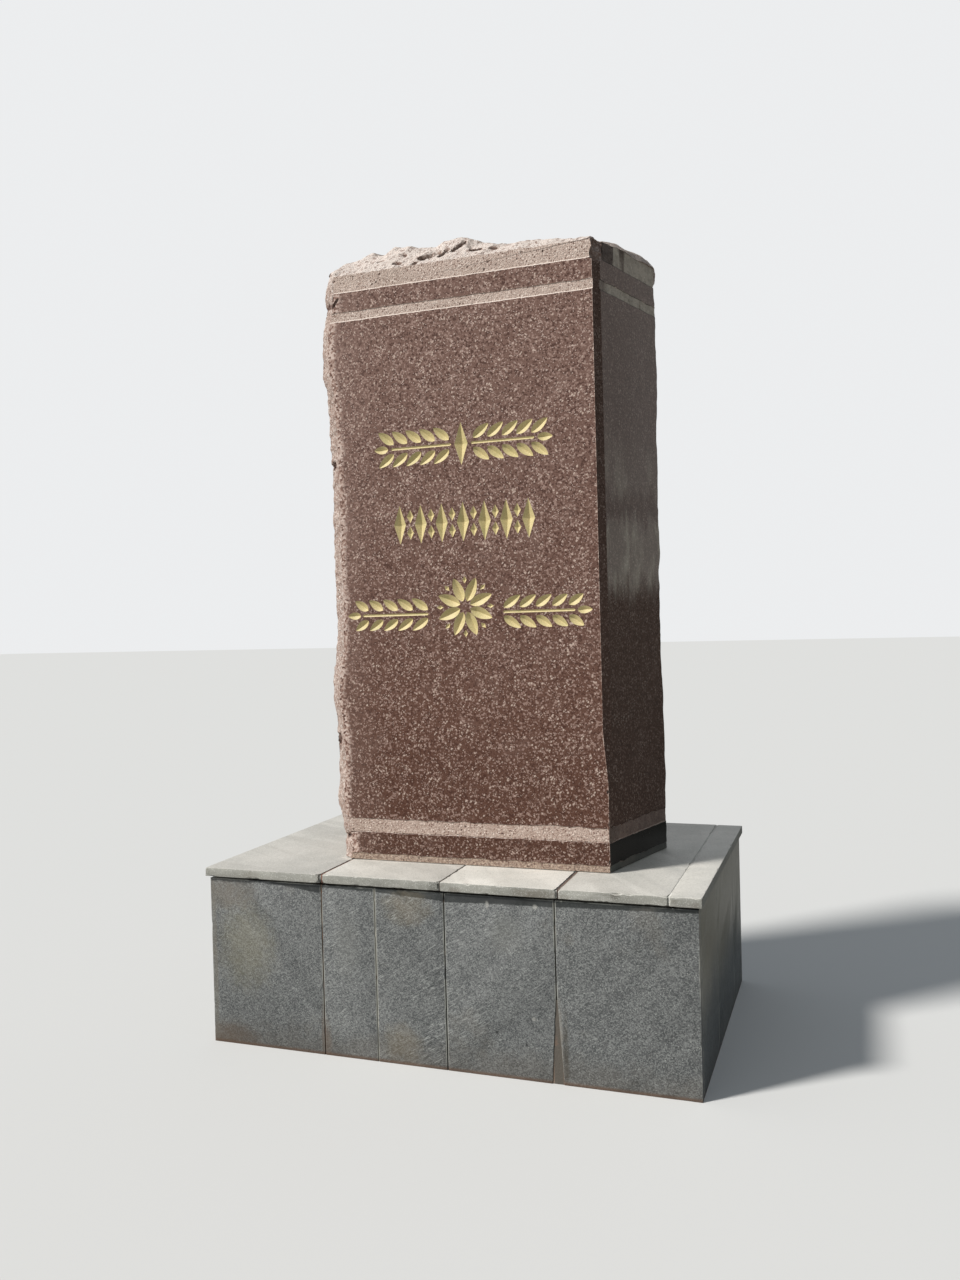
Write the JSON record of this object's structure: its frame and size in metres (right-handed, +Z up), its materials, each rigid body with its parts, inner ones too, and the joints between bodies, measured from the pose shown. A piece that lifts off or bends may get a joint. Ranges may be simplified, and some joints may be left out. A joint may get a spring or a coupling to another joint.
{
  "type": "memorial stele obelisk on a clad plinth",
  "caption": "Upright block of red-brown granite with two worked faces and split sides, with tooled bands and a gilded cut ornament, on a low plinth clad in grey granite panels and slabs.",
  "frame": {"origin": "middle of the plinth's footprint at ground level", "axes": "+Z up, the ornamented front of the stele faces -Y, +X to the right seen from the front"},
  "size_m": [1.764, 1.1684, 2.865],
  "materials": {
    "red_brown_granite": "polished worked faces, bush-hammered bands, rock-split left side, back and top, gilded V-cut ornament",
    "grey_granite_panel": "dark grey speckled granite, honed, weather-stained at the foot",
    "light_granite_slab": "light grey granite slabs, honed top, stained edges",
    "mortar": "brown cement mortar, matt",
    "concrete": "cast concrete, matt"
  },
  "bodies": {
    "root": {"plinth_core": "concrete", "backing_mortar": "mortar", "front_panel_1": "grey_granite_panel", "front_panel_2": "grey_granite_panel", "front_panel_3": "grey_granite_panel", "front_panel_4": "grey_granite_panel", "front_panel_5": "grey_granite_panel", "right_panel_1": "grey_granite_panel", "right_panel_2": "grey_granite_panel", "right_panel_3": "grey_granite_panel", "left_panel_1": "grey_granite_panel", "left_panel_2": "grey_granite_panel", "left_panel_3": "grey_granite_panel", "back_panel_1": "grey_granite_panel", "back_panel_2": "grey_granite_panel", "back_panel_3": "grey_granite_panel", "back_panel_4": "grey_granite_panel", "back_panel_5": "grey_granite_panel", "cap_bed": "mortar", "cap_slab_1": "light_granite_slab", "cap_slab_2": "light_granite_slab", "cap_slab_3": "light_granite_slab", "cap_slab_4": "light_granite_slab", "cap_slab_5": "light_granite_slab", "cap_joint_1": "mortar", "cap_joint_2": "mortar", "cap_joint_3": "mortar", "cap_joint_4": "mortar", "stele_bed": "mortar", "stele": "red_brown_granite"}
  },
  "joints": []
}
